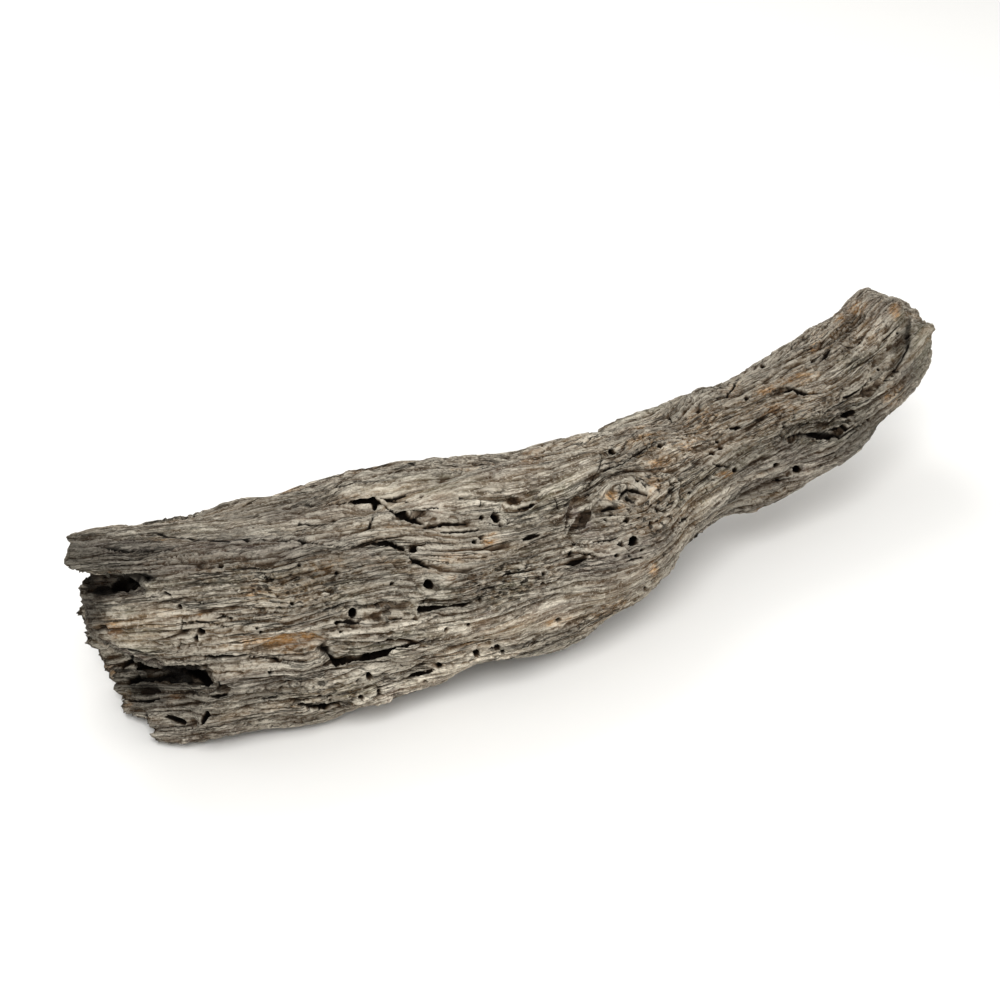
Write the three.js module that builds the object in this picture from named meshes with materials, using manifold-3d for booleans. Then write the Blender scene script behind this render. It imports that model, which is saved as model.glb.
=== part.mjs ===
// A piece of driftwood, about 314 mm long: one weathered length of a log, lying on its belly.
// Millimetres. +X runs along the log, from the broken end to the worn tip, +Y is away from
// the broad worn face, and +Z is up. The origin is under the middle of the piece, at z = 0.

import * as THREE from "three";
import { mergeVertices } from "three/addons/utils/BufferGeometryUtils.js";
import Module from "manifold-3d";

// Driving sizes

const brokenEndX = -122; // the middle of the broken end
const wornTipX = 176; // the furthest point of the worn tip
const bellyDepth = 71; // front to back at the thickest place
const bellyHeight = 57; // top to underside at the thickest place
const contactDepth = 1.1; // what lying and rolling wore off the lowest places
const sectionPower = 2.25; // 2 is an ellipse, and more is boxier

// How finely the surface is laid out

const stepsAround = 64;
const stepsAlong = 47;
const brokenFaceRings = 7;
const wornTipRings = 4;

// The run of the log: x, then the section's middle (y, z), then its depth and height as a
// share of the belly's.

const stations = [
  [-146, 0, 29.5, 0.9, 0.9],
  [-128, -4, 29.5, 0.92, 0.95],
  [-108, -9, 28.5, 0.97, 0.98],
  [-84, -14, 28, 1.0, 1.0],
  [-56, -19, 28, 1.0, 1.0],
  [-28, -24, 28, 0.97, 1.0],
  [0, -28, 27.5, 0.91, 0.97],
  [22, -27, 27.5, 0.82, 0.88],
  [40, -23, 28.5, 0.7, 0.76],
  [58, -20, 29, 0.63, 0.66],
  [84, -20, 31, 0.63, 0.65],
  [108, -19, 33, 0.63, 0.66],
  [132, -14, 36, 0.62, 0.66],
  [154, -6, 39, 0.6, 0.62],
  [176, 2, 42, 0.54, 0.56],
  [196, 8, 45, 0.44, 0.48],
];

// Broad forms on the skin: where along (x), which way round in degrees (0 faces front, 90 is
// up, 180 is the back), how long, how wide round in degrees, and how far it stands out.

const broadForms = [
  { x: -128, turn: 112, long: 22, wide: 22, out: 2.2 }, // the long splinter curls up
  { x: -128, turn: 10, long: 18, wide: 26, out: -5 }, // the broken end's worn front corner
  { x: -128, turn: -66, long: 22, wide: 22, out: 1.6 }, // and its lower edge, left square
  { x: -78, turn: 78, long: 84, wide: 8, out: 2.4 }, // the long crest along the top
  { x: -66, turn: 104, long: 70, wide: 12, out: -2 }, // the dished top behind the crest
  { x: -60, turn: 104, long: 7, wide: 6, out: 3.2 }, // a broken twig's base behind it
  { x: -44, turn: 24, long: 56, wide: 13, out: 1.8 }, // the broad swell of the front
  { x: -72, turn: -16, long: 52, wide: 7, out: -3 }, // the furrow under it
  { x: -54, turn: -52, long: 20, wide: 14, out: 2 }, // the lower edge swells and dips
  { x: 6, turn: -42, long: 44, wide: 18, out: -5 }, // where the belly rolls up to the shoulder
  { x: 34, turn: -24, long: 15, wide: 18, out: 1.6 }, // the shoulder where the arm begins
  { x: 51, turn: -44, long: 16, wide: 20, out: -3.4 }, // the hollow past the shoulder
  { x: 76, turn: -46, long: 10, wide: 16, out: 1.8 },
  { x: -4, turn: 112, long: 24, wide: 16, out: -2 },
  { x: 18, turn: 58, long: 26, wide: 13, out: -2.4 }, // the rotten dip beside the knot
  { x: 67, turn: 104, long: 13, wide: 20, out: 6.4 }, // the elbow of the upper edge
  { x: 92, turn: -8, long: 40, wide: 14, out: 1.6 }, // the arm's front swell
  { x: 98, turn: 20, long: 34, wide: 9, out: -3 }, // the furrow of the arm's long split
  { x: 152, turn: 66, long: 16, wide: 24, out: 5 }, // the upper lobe of the tip
  { x: 118, turn: 84, long: 16, wide: 24, out: -1.6 },
  { x: 130, turn: -12, long: 22, wide: 20, out: -2.6 },
  { x: 175, turn: 58, long: 18, wide: 13, out: -9 }, // the notch between the tip's two lobes
  { x: -50, turn: -94, long: 54, wide: 26, out: -3.6 }, // the underside, arched between its low places
  { x: 8, turn: -114, long: 36, wide: 15, out: 2.8 },
  { x: -42, turn: -44, long: 12, wide: 12, out: -2 },
  { x: -16, turn: -42, long: 18, wide: 12, out: 2.8 },
  { x: 20, turn: 190, long: 60, wide: 22, out: -3.4 }, // the scooped back
  { x: -90, turn: 204, long: 44, wide: 14, out: -3 },
  { x: -30, turn: 150, long: 50, wide: 12, out: 2 },
];

// Grain ridges and furrows, drawn by rule from one seed

const grainSeed = 7;
const ridgeCount = 34;
const furrowCount = 30;
const grainTwist = 0.06; // degrees of turn for each millimetre along
const ridgeSize = { longMin: 30, longMax: 90, wideMin: 3.6, wideMax: 6.5, outMin: 1.2, outMax: 3.2 };
const furrowSize = { longMin: 20, longMax: 64, wideMin: 3.4, wideMax: 5.6, outMin: -4, outMax: -1.6 };

const lumpHeight = 2;
const lumpLength = 17;
const lumpWidth = 7.5;

// Splits through the two ends: the middle, the half sizes, and the turn about X, Y and Z in
// degrees.

const splits = [
  { at: [-141, 4, 49.4], half: [19, 46, 3.2], turn: [-4, 4, 0] }, // right through, under the top splinter
  { at: [-130, -7, 48.6], half: [12, 13, 3.2], turn: [-12, 2, -24] }, // the same, as it runs in
  { at: [-126, -14, 20], half: [10, 23, 3.8], turn: [-20, 0, -24] }, // the arch under the nose
  { at: [-121, -30, 26], half: [8, 8, 3], turn: [-20, 0, -30] },
  { at: [-133, 2, 26], half: [5, 3.4, 3], turn: [0, 0, 0] }, // the rotten knot of the nose
  { at: [-132, -8, 8], half: [6, 7, 1.8], turn: [-30, 0, 0] },
  { at: [169, -9, 58], half: [11, 2.4, 7], turn: [14, 8, 22] }, // the gap that runs in from the notch
];

// Hollows rotted into the skin: where along and which way round, then half the length, width
// and depth, and the skew from the log's run in degrees.

const hollows = [
  { x: -120, turn: -26, long: 4.4, wide: 2.4, deep: 5, skew: 30 },
  { x: -123, turn: -48, long: 4.4, wide: 2.2, deep: 5, skew: -20 },
  { x: -117, turn: -6, long: 4, wide: 1.8, deep: 4, skew: 12 },
  { x: -98, turn: 14, long: 12, wide: 3.2, deep: 4.4, skew: 4 }, // the stained pocket on the front
  { x: -86, turn: 4, long: 6, wide: 2.6, deep: 5, skew: -12 },
  { x: -73, turn: 4, long: 15, wide: 1.8, deep: 5, skew: 5 }, // the long check running from it
  { x: -88, turn: -30, long: 7, wide: 2, deep: 5, skew: 0 },
  { x: -58, turn: 91, long: 7, wide: 2.2, deep: 5.4, skew: -14 }, // deep checks in the dished top
  { x: -52, turn: 70, long: 8, wide: 2, deep: 5, skew: -22 },
  { x: -63, turn: 57, long: 9, wide: 1.8, deep: 4.6, skew: -10 },
  { x: -58, turn: 33, long: 3, wide: 2.2, deep: 5, skew: 0 },
  { x: -80, turn: 27, long: 3, wide: 2, deep: 5, skew: 0 },
  { x: -56, turn: 17, long: 9, wide: 2, deep: 5, skew: 2 },
  { x: -62, turn: -20, long: 8, wide: 2, deep: 4.6, skew: 4 },
  { x: -24, turn: 62, long: 12, wide: 1.8, deep: 5, skew: 16 },
  { x: 19, turn: 83, long: 9, wide: 2, deep: 5, skew: 14 },
  { x: -7, turn: 48, long: 9, wide: 2.6, deep: 5, skew: 42 }, // the leaf-shaped hollow by the knot
  { x: 16, turn: 52, long: 6, wide: 3.4, deep: 5.4, skew: 20 }, // the knot's rotten side
  { x: 6, turn: 24, long: 5, wide: 2, deep: 5, skew: -46 },
  { x: 93, turn: 26, long: 15, wide: 2.2, deep: 6, skew: -14 }, // the long split of the arm
  { x: 108, turn: 18, long: 9, wide: 2, deep: 5.6, skew: 12 },
  { x: 85, turn: 0, long: 3.4, wide: 2.4, deep: 5, skew: 0 },
  { x: 94, turn: 76, long: 8, wide: 2.2, deep: 5, skew: 8 },
  { x: 142, turn: 100, long: 8, wide: 2.6, deep: 4, skew: 30 },
  { x: 128, turn: 40, long: 12, wide: 2, deep: 5, skew: 16 },
  { x: -84, turn: 150, long: 16, wide: 2.2, deep: 5.4, skew: 4 }, // the back's own checks
  { x: -30, turn: 172, long: 18, wide: 2.6, deep: 6, skew: -6 },
  { x: 26, turn: 140, long: 12, wide: 2, deep: 5, skew: 8 },
  { x: 60, turn: 196, long: 14, wide: 2.4, deep: 5.6, skew: 4 },
  { x: -92, turn: 214, long: 12, wide: 2.6, deep: 5, skew: -8 },
  { x: 104, turn: 160, long: 14, wide: 2, deep: 5, skew: -4 },
];

// A repeatable draw of numbers from 0 to 1

function makeDraw(seed) {
  let state = seed * 2654435761 % 4294967296;
  return () => {
    state = (state * 1664525 + 1013904223) % 4294967296;
    return state / 4294967296;
  };
}

const between = (draw, low, high) => low + (high - low) * draw();
const radians = THREE.MathUtils.degToRad;
const bell = (distance, width) => Math.exp(-0.5 * (distance / width) ** 2);
const roundOver = (share) => Math.sqrt(1 - (1 - share) ** 2);

// The signed distance between two directions round the log, in degrees

function turnBetween(a, b) {
  return ((((a - b) % 360) + 540) % 360) - 180;
}

// The log's section at x: a smooth curve through the stations

function sectionAt(x) {
  const last = stations.length - 2;
  let i = 1;
  while (i < last - 1 && x > stations[i + 1][0]) i += 1;
  const [before, a, b, after] = [stations[i - 1], stations[i], stations[i + 1], stations[i + 2]];
  const t = (x - a[0]) / (b[0] - a[0]);
  const value = (k) => {
    const slopeA = (b[k] - before[k]) / (b[0] - before[0]);
    const slopeB = (after[k] - a[k]) / (after[0] - a[0]);
    const span = b[0] - a[0];
    return (
      a[k] * (1 + 2 * t) * (1 - t) ** 2 +
      slopeA * span * t * (1 - t) ** 2 +
      b[k] * t * t * (3 - 2 * t) +
      slopeB * span * t * t * (t - 1)
    );
  };
  return {
    y: value(1),
    z: value(2),
    halfDepth: (value(3) * bellyDepth) / 2,
    halfHeight: (value(4) * bellyHeight) / 2,
  };
}

// Ridges and furrows as lists of { x, turn, long, wide, out }, with wide in millimetres

function drawGrain() {
  const draw = makeDraw(grainSeed);
  const one = (size, i, count) => ({
    x: between(draw, brokenEndX, wornTipX),
    turn: (360 * (i + between(draw, -0.4, 0.4))) / count,
    long: between(draw, size.longMin, size.longMax),
    wide: between(draw, size.wideMin, size.wideMax),
    out: between(draw, size.outMin, size.outMax),
  });
  const ridges = Array.from({ length: ridgeCount }, (_, i) => one(ridgeSize, i, ridgeCount));
  const furrows = Array.from({ length: furrowCount }, (_, i) => one(furrowSize, i, furrowCount));
  return [...ridges, ...furrows];
}

const grain = drawGrain();

// How far the skin stands out from the plain section at x, in the direction turn

function relief(x, turn, radius) {
  let out = 0;
  for (const form of broadForms) {
    out += form.out * bell(x - form.x, form.long / 2) * bell(turnBetween(turn, form.turn), form.wide);
  }
  const millimetresPerDegree = (Math.PI * radius) / 180;
  const grainTurn = turn + grainTwist * (x - brokenEndX);
  for (const line of grain) {
    const across = turnBetween(grainTurn, line.turn) * millimetresPerDegree;
    if (Math.abs(across) > 3 * line.wide) continue;
    const wander = 2.2 * Math.sin((x - line.x) / 21 + line.turn);
    out += line.out * bell(x - line.x, line.long / 2) * bell(across - wander, line.wide / 2);
  }
  return out;
}

// Smooth lumps all over: a repeatable random value at each corner of a lattice, blended between

function cornerValue(i, j, k) {
  const mixed = Math.sin(i * 127.1 + j * 311.7 + k * 74.7) * 43758.5453;
  return 2 * (mixed - Math.floor(mixed)) - 1;
}

function lumpiness(x, y, z) {
  const [i, j, k] = [Math.floor(x), Math.floor(y), Math.floor(z)];
  const [u, v, w] = [x - i, y - j, z - k].map((f) => f * f * (3 - 2 * f));
  let sum = 0;
  for (const [di, dj, dk] of latticeCorners) {
    const weight = (di ? u : 1 - u) * (dj ? v : 1 - v) * (dk ? w : 1 - w);
    sum += weight * cornerValue(i + di, j + dj, k + dk);
  }
  return sum;
}

const latticeCorners = [0, 1].flatMap((a) => [0, 1].flatMap((b) => [0, 1].map((c) => [a, b, c])));

// A point on the skin, where inward is the share of the way from the skin to the middle

function skinPoint(x, turn, inward = 0) {
  const section = sectionAt(x);
  const angle = radians(turn);
  const power = 2 / sectionPower;
  const front = Math.sign(Math.cos(angle)) * Math.abs(Math.cos(angle)) ** power;
  const up = Math.sign(Math.sin(angle)) * Math.abs(Math.sin(angle)) ** power;
  const radius = Math.hypot(section.halfDepth * front, section.halfHeight * up);
  const [across, height] = [radius * Math.cos(angle), radius * Math.sin(angle)];
  const lumps = lumpHeight * lumpiness(x / lumpLength, across / lumpWidth, height / lumpWidth);
  const grow = (1 - inward) * (1 + (relief(x, turn, radius) + lumps) / radius);
  return [x, section.y - section.halfDepth * front * grow, section.z + section.halfHeight * up * grow];
}

// Where the broken end's rim lies: long splinters on top, short teeth all round

const splinters = [
  { turn: 95, wide: 12, long: 17 },
  { turn: 128, wide: 13, long: 11 },
  { turn: 152, wide: 9, long: 6 },
  { turn: 172, wide: 5, long: -8 },
  { turn: 190, wide: 8, long: 5 },
  { turn: 212, wide: 12, long: 9 },
  { turn: 240, wide: 12, long: 7 },
  { turn: 268, wide: 11, long: 8 },
  { turn: 292, wide: 9, long: 7 },
  { turn: 18, wide: 24, long: -7 },
];
const toothCount = 17;
const toothLength = 3.4;
const wornSide = { turn: 256, wide: 30, share: 0.85 }; // low at the back the teeth are worn away

function brokenRim(turn) {
  const splinter = splinters.reduce((sum, s) => sum + s.long * bell(turnBetween(turn, s.turn), s.wide), 0);
  const phase = (turn / 360) * toothCount + 0.35 * Math.sin(radians(3 * turn));
  const tooth = Math.abs(((phase % 1) + 1) % 1 - 0.5) * 2;
  const left = 1 - wornSide.share * bell(turnBetween(turn, wornSide.turn), wornSide.wide);
  return brokenEndX - splinter - toothLength * left * (tooth - 0.5);
}

// The broken face dips into the log inside its rim, and harder wood stands out of it in noses

const faceDip = 5;
const noses = [
  { y: -4, z: 38, deep: 11, high: 10, out: 20 },
  { y: -20, z: 37, deep: 9, high: 9, out: 8 },
  { y: 12, z: 24, deep: 11, high: 7, out: 9 },
  { y: 3, z: 52, deep: 15, high: 4.6, out: 18 },
  { y: -6, z: 4, deep: 16, high: 6, out: 7 },
];

function brokenFacePoint(turn, share) {
  const rimX = brokenRim(turn);
  const [, y, z] = skinPoint(rimX, turn, share);
  const nose = noses.reduce((sum, n) => sum + n.out * bell(y - n.y, n.deep) * bell(z - n.z, n.high), 0);
  const fibres = 2.4 * lumpiness(0.5, y / 9, z / 4.5);
  const faceX = brokenEndX + faceDip - nose + fibres;
  return [THREE.MathUtils.lerp(rimX, faceX, roundOver(share)), y, z];
}

// The worn tip is two rounded lobes, and the rear one reaches further

const lobes = [
  { turn: 60, wide: 50, long: -4 },
  { turn: 190, wide: 46, long: 5 },
];
const tipRound = 13; // how much of the length the tip's rounding takes

function wornRim(turn) {
  const reach = lobes.reduce((sum, lobe) => sum + lobe.long * bell(turnBetween(turn, lobe.turn), lobe.wide), 0);
  return wornTipX - tipRound + reach;
}

function wornTipPoint(turn, share) {
  const rim = wornRim(turn);
  const [, y, z] = skinPoint(rim, turn, share);
  return [THREE.MathUtils.lerp(rim, wornTipX - 3, roundOver(share)), y, z];
}

// The whole log as one closed skin of rings: the broken face, the skin, then the worn tip

function logGeometry() {
  const rings = [];
  for (let k = brokenFaceRings - 1; k > 0; k -= 1) {
    rings.push((turn) => brokenFacePoint(turn, k / brokenFaceRings));
  }
  for (let j = 0; j <= stepsAlong; j += 1) {
    const share = j / stepsAlong;
    rings.push((turn) => skinPoint(THREE.MathUtils.lerp(brokenRim(turn), wornRim(turn), share), turn));
  }
  for (let k = 1; k < wornTipRings; k += 1) {
    rings.push((turn) => wornTipPoint(turn, k / wornTipRings));
  }
  const positions = [];
  rings.forEach((point) => {
    for (let i = 0; i < stepsAround; i += 1) positions.push(...point((360 * i) / stepsAround));
  });
  const brokenMiddle = positions.length / 3;
  positions.push(...brokenFacePoint(0, 1));
  const tipMiddle = positions.length / 3;
  positions.push(...wornTipPoint(0, 1));
  const triangles = [];
  for (let r = 0; r + 1 < rings.length; r += 1) {
    for (let i = 0; i < stepsAround; i += 1) {
      const next = (i + 1) % stepsAround;
      const [a, b] = [r * stepsAround + i, r * stepsAround + next];
      const [c, d] = [a + stepsAround, b + stepsAround];
      triangles.push(a, c, b, b, c, d);
    }
  }
  const lastRing = (rings.length - 1) * stepsAround;
  for (let i = 0; i < stepsAround; i += 1) {
    const next = (i + 1) % stepsAround;
    triangles.push(brokenMiddle, i, next);
    triangles.push(tipMiddle, lastRing + next, lastRing + i);
  }
  return new THREE.BufferGeometry()
    .setAttribute("position", new THREE.Float32BufferAttribute(positions, 3))
    .setIndex(triangles);
}

// A rounded lump with a slightly wandering surface, which every split and hollow is cut with

function lumpGeometry(half, matrix) {
  const lump = new THREE.SphereGeometry(1, 8, 5);
  const place = lump.attributes.position;
  for (let i = 0; i < place.count; i += 1) {
    const point = new THREE.Vector3().fromBufferAttribute(place, i);
    const wander = 1 + 0.16 * Math.sin(4 * point.x + half[0]) * Math.cos(3 * point.z + half[1]);
    place.setXYZ(i, point.x * half[0], point.y * half[1] * wander, point.z * half[2] * wander);
  }
  return lump.applyMatrix4(matrix);
}

function splitGeometry({ at, half, turn }) {
  const pose = new THREE.Object3D();
  pose.rotation.set(...turn.map(radians));
  pose.position.set(...at);
  pose.updateMatrix();
  return lumpGeometry(half, pose.matrix);
}

// A hollow lies along the skin: its length on the log's run, its depth straight in

function hollowGeometry({ x, turn, long, wide, deep, skew }) {
  const at = new THREE.Vector3(...skinPoint(x, turn));
  const along = new THREE.Vector3(...skinPoint(x + 6, turn)).sub(at).normalize();
  const across = new THREE.Vector3(...skinPoint(x, turn + 6)).sub(at);
  const out = new THREE.Vector3().crossVectors(along, across).normalize();
  across.crossVectors(out, along);
  const matrix = new THREE.Matrix4()
    .makeBasis(along, across, out)
    .setPosition(at)
    .multiply(new THREE.Matrix4().makeRotationZ(radians(skew)));
  return lumpGeometry([long, wide, deep], matrix);
}

// What lies under the surface that the piece rests on

function groundGeometry() {
  const thick = 40;
  return new THREE.BoxGeometry(600, 300, thick).translate(0, 0, contactDepth - thick / 2);
}

const wasm = await Module();
wasm.setup();

function toSolid(geometry) {
  const bare = geometry.clone();
  bare.deleteAttribute("normal");
  bare.deleteAttribute("uv");
  const merged = mergeVertices(bare, 1e-4);
  return new wasm.Manifold(
    new wasm.Mesh({
      numProp: 3,
      vertProperties: new Float32Array(merged.attributes.position.array),
      triVerts: new Uint32Array(merged.index.array),
    }),
  );
}

function toGeometry(solid) {
  const mesh = solid.getMesh();
  return new THREE.BufferGeometry()
    .setAttribute("position", new THREE.BufferAttribute(mesh.vertProperties, 3))
    .setIndex(new THREE.BufferAttribute(mesh.triVerts, 1));
}

let wood = toSolid(logGeometry());
for (const split of splits) wood = wood.subtract(toSolid(splitGeometry(split)));
for (const hollow of hollows) wood = wood.subtract(toSolid(hollowGeometry(hollow)));
wood = wood.subtract(toSolid(groundGeometry()));
wood = wood.decompose().sort((a, b) => b.volume() - a.volume())[0];

const weatheredGrey = new THREE.MeshStandardMaterial({ color: 0x8a8172, roughness: 0.92, metalness: 0 });
const geometry = toGeometry(wood);
geometry.computeBoundingBox();
const { min, max } = geometry.boundingBox;

const driftwood = new THREE.Mesh(geometry, weatheredGrey);
driftwood.name = "driftwood";
driftwood.position.set(-(min.x + max.x) / 2, -(min.y + max.y) / 2, -min.z);

const piece = new THREE.Group();
piece.add(driftwood);

export default piece;
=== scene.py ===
import math
import bpy
import numpy as np
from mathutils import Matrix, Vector
from mathutils.bvhtree import BVHTree
from mathutils.kdtree import KDTree


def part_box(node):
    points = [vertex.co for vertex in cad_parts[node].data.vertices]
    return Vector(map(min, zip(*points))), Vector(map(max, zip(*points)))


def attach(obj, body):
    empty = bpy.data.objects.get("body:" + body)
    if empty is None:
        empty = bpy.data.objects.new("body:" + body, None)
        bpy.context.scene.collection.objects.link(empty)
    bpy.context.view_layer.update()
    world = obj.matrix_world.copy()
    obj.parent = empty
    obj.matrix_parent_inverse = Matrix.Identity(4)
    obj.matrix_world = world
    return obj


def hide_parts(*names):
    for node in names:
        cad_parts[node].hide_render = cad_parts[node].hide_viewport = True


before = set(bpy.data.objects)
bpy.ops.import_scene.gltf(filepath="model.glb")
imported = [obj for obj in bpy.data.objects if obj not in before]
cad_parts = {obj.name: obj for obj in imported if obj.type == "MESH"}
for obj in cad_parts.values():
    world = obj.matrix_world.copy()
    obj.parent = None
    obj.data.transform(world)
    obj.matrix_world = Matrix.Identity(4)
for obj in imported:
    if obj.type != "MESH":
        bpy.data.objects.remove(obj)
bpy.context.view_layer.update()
scene = bpy.context.scene
print("frame loaded")

# The camera comes first, because the wood's seen marks are placed through it

cameraSettings = {
    "azimuth": -35.0,  # degrees round the log
    "elevation": 30.0,  # degrees above the horizon
    "lens": 65.0,  # mm
    "sensorWidth": 36.0,  # mm
    "distance": 0.56,  # metres
    "target": (-0.0161, 0.0165, 0.0269),
    "pictureWidth": 1000,  # pixels
}


def cameraAxes():
    a, e = math.radians(cameraSettings["azimuth"]), math.radians(cameraSettings["elevation"])
    back = Vector((math.sin(a) * math.cos(e), -math.cos(a) * math.cos(e), math.sin(e)))
    right = Vector((math.cos(a), math.sin(a), 0))
    return right, back.cross(right), back


def makeCamera():
    right, up, back = cameraAxes()
    data = bpy.data.cameras.new("camera")
    data.lens = cameraSettings["lens"]
    data.sensor_width = cameraSettings["sensorWidth"]
    data.clip_start, data.clip_end = 0.01, 20  # metres
    camera = bpy.data.objects.new("camera", data)
    camera.location = Vector(cameraSettings["target"]) + back * cameraSettings["distance"]
    camera.rotation_mode = "QUATERNION"
    camera.rotation_quaternion = (-back).to_track_quat("-Z", "Y")
    scene.collection.objects.link(camera)
    scene.camera = camera
    return camera


camera = makeCamera()


# Where points fall in the picture, in pixels, and how far they lie from the camera
def toPicture(points):
    right, up, back = (np.array(axis) for axis in cameraAxes())
    away = points - np.array(camera.location)
    depth = -(away @ back)
    pixelsAcross = cameraSettings["pictureWidth"]
    scale = cameraSettings["lens"] / cameraSettings["sensorWidth"] * pixelsAcross / depth
    half = cameraSettings["pictureWidth"] / 2
    return half + scale * (away @ right), half - scale * (away @ up), depth


# What the noise is made from: random slopes, and large numbers that scatter them over the lattice
slopeCount = 64
slopes = np.random.default_rng(5).normal(size=(slopeCount, 3)).astype(np.float32)
slopes /= np.linalg.norm(slopes, axis=1, keepdims=True)
scatter = (73856093, 19349663, 83492791)
seedScatter = 40503
remix = 73244475


# Smooth noise from a lattice of random slopes, about -1 to 1
def noiseAt(points, seed):
    cell = np.floor(points).astype(np.int64)
    part = (points - cell).astype(np.float32)
    fade = part ** 3 * (part * (part * 6 - 15) + 10)
    total = np.zeros(len(points), np.float32)
    for corner in range(8):
        step = np.array([corner & 1, corner >> 1 & 1, corner >> 2 & 1])
        at = cell + step
        mixed = at[:, 0] * scatter[0] ^ at[:, 1] * scatter[1] ^ at[:, 2] * scatter[2] ^ seed * seedScatter
        for _ in range(2):
            mixed = (mixed ^ mixed >> 15) * remix & 0xFFFFFFFF
        slope = slopes[(mixed ^ mixed >> 16) & (slopeCount - 1)]
        weight = np.prod(np.where(step, fade, 1 - fade), axis=1)
        total += weight * np.sum(slope * (part - step), axis=1)
    return 1.7 * total  # so that it nearly fills -1 to 1


# From 0 at low to 1 at high, with soft ends
def eased(values, low, high):
    share = np.clip((values - low) / (high - low), 0, 1)
    return share * share * (3 - 2 * share)


# Ledges like torn layers: the field rises in steps, each over a part of its width
def stepped(field, steps, riser):
    scaled = field * steps
    whole = np.floor(scaled)
    return (whole + eased(scaled - whole, 1 - riser, 1)) / steps


# Sharp valleys along the lines where the noise crosses nought
def valleys(field, width):
    return np.clip(1 - np.abs(field) / width, 0, 1) ** 1.4


bodySettings = {
    "coarseVoxel": 0.0011,  # metres
    "coarseSmoothing": 6,
    "fineVoxel": 0.0005,
    "fineSmoothing": 3,
    "triangles": 194000,
    "grainRadius": 33.0,  # mm, what one turn round the log is measured on
    "ringShare": 0.3,  # how much the pattern changes from the skin inwards
    "refill": 0.9,  # how much of the plain solid's hollows is filled again
    "refillRounds": 2,
    "refillBlur": 140,  # rounds of softening that find the hollows
    "refillDepth": (0.0002, 0.0009),  # metres: hollows less deep stay, and deeper ones are filled
    "refillEnd": (0.12, 0.132),  # metres from the middle, where it stops before the broken end
    "skinDepth": 0.006,  # metres behind the nearest point, for skin that the camera sees
    "skinFacing": (0.0, 0.25),  # 1 for skin that faces the camera
    "skinBlur": 3,
    "splitDepth": 0.05,  # the same for what it glimpses inside the splits
    "splitFacing": -0.1,
    "splitBlur": 8,
    "endRim": 110.0,  # mm from the middle, where the broken end's own grain starts
    "endTakeover": 8.0,  # mm over which it takes over
    "endLean": 6.0,  # degrees
    "grainSway": 4.5,  # mm
    "swell": 0.75,  # mm, broad waves along the grain
    "furrow": 1.8,
    "check": 1.25,
    "fibre": 0.3,
    "ledge": 1.7,
    "rot": 0.65,
    "slantShare": 0.3,  # how deep cuts are on skin that slants away from the camera
    "slant": (0.2, 0.65),  # from that share to whole depth: 1 for skin that faces it
    "holeDeepest": 3.6,  # mm
    "fissureDeepest": 2.8,
    "lipHighest": 1.6,
    "thinFrom": 0.9,  # mm: deeper cuts are held back where little wood lies behind
    "thinShare": 0.4,  # the share of that wood that may be cut away
    "sunk": 0.25,  # mm that the whole skin is sunk by
    "standProud": 0.9,  # mm that the relief may stand out
    "pastBox": ((2, 1, 0), (2, 1, 0.8)),  # mm past the CAD box that it may reach, low and high
}


def applyModifiers(piece):
    graph = bpy.context.evaluated_depsgraph_get()
    made = bpy.data.meshes.new_from_object(piece.evaluated_get(graph))
    piece.modifiers.clear()
    old = piece.data
    piece.data = made
    bpy.data.meshes.remove(old)


# A finer copy of the plain solid, with its facets smoothed away
def smoothedBody(source):
    mesh = bpy.data.meshes.new("driftwoodBody")
    piece = bpy.data.objects.new("driftwoodBody", mesh)
    scene.collection.objects.link(piece)
    points = [v.co.copy() for v in source.data.vertices]
    mesh.from_pydata(points, [], [tuple(p.vertices) for p in source.data.polygons])
    for voxel, smoothing in (
        (bodySettings["coarseVoxel"], bodySettings["coarseSmoothing"]),
        (bodySettings["fineVoxel"], bodySettings["fineSmoothing"]),
    ):
        remesh = piece.modifiers.new("remesh", "REMESH")
        remesh.mode = "VOXEL"
        remesh.voxel_size = voxel
        smooth = piece.modifiers.new("smooth", "SMOOTH")
        smooth.factor = 0.5
        smooth.iterations = smoothing
    applyModifiers(piece)
    return piece


def readArray(collection, name, width, kind=np.float32):
    values = np.empty(len(collection) * width, kind)
    collection.foreach_get(name, values)
    return values.reshape(-1, width) if width > 1 else values


piece = smoothedBody(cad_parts["driftwood"])
fine = piece.data
points = readArray(fine.vertices, "co", 3).astype(np.float64)
normals = readArray(fine.vertices, "normal", 3).astype(np.float64)
edges = readArray(fine.edges, "vertices", 2, np.int32)
degree = np.bincount(edges.ravel(), minlength=len(points))
print("body remeshed:", len(points), "points")


# Values over the body's points, each round mixed with those of the points beside them
def blurred(values, rounds):
    for _ in range(rounds):
        near = np.bincount(edges[:, 0], values[edges[:, 1]], len(values))
        near += np.bincount(edges[:, 1], values[edges[:, 0]], len(values))
        values = 0.4 * values + 0.6 * near / degree
    return values


# The plain solid's hollows are softened away here, because the real marks are cut afterwards
for _ in range(bodySettings["refillRounds"]):
    soft = np.stack([blurred(points[:, axis], bodySettings["refillBlur"]) for axis in range(3)], 1)
    sunk = np.sum((soft - points) * normals, axis=1)
    share = bodySettings["refill"] * eased(sunk, *bodySettings["refillDepth"])
    share *= 1 - eased(-points[:, 0], *bodySettings["refillEnd"])
    points += (soft - points) * share[:, None]
    fine.vertices.foreach_set("co", points.astype(np.float32).ravel())
    fine.update()
    normals = readArray(fine.vertices, "normal", 3).astype(np.float64)
print("plain hollows refilled")


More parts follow.
